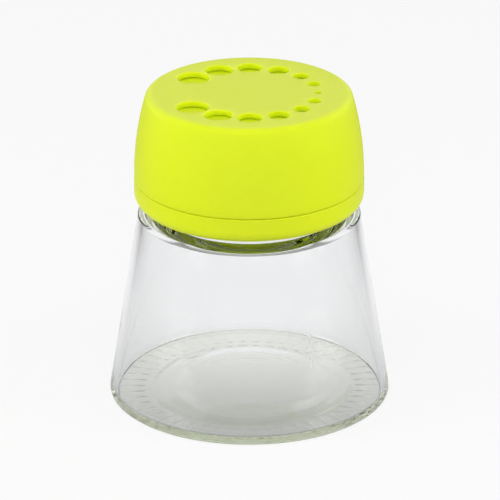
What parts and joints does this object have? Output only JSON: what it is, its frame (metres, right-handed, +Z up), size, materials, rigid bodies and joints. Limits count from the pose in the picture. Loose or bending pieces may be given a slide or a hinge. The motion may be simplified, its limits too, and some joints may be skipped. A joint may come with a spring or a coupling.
{
  "type": "spice shaker",
  "caption": "Tapered glass spice shaker with a screw-on lime plastic lid whose dial turns to set one of thirteen graded holes over an opening.",
  "frame": {"origin": "centre of the jar's foot, on the surface that it stands on", "axes": "+Z up along the jar's axis; +X towards the smallest hole of the dial at rest"},
  "size_m": [0.0704, 0.0704, 0.08],
  "materials": {
    "clear_glass": "clear, blown",
    "liner_foam": "matte",
    "lime_plastic": "satin"
  },
  "bodies": {
    "jar": {"glass_jar": "clear_glass"},
    "liner": {"rim_liner": "liner_foam"},
    "lid": {"lid_base": "lime_plastic"},
    "dial": {"dial_cap": "lime_plastic"}
  },
  "joints": [
    {"name": "lid_lift", "type": "slide", "parent": "jar", "child": "liner", "axis": [0, 0, 1], "range_m": [0, 0.005]},
    {"name": "lid_turn", "type": "hinge", "parent": "liner", "child": "lid", "pos_m": [0, 0, 0.0632], "axis": [0, 0, 1], "range_deg": [0, 450]},
    {"name": "dial_turn", "type": "hinge", "parent": "lid", "child": "dial", "pos_m": [0, 0, 0.0785], "axis": [0, 0, 1], "continuous": true}
  ],
  "couplings": [
    {"joint": "lid_lift", "follows": "lid_turn", "m_per_rad": 0.00063661}
  ]
}
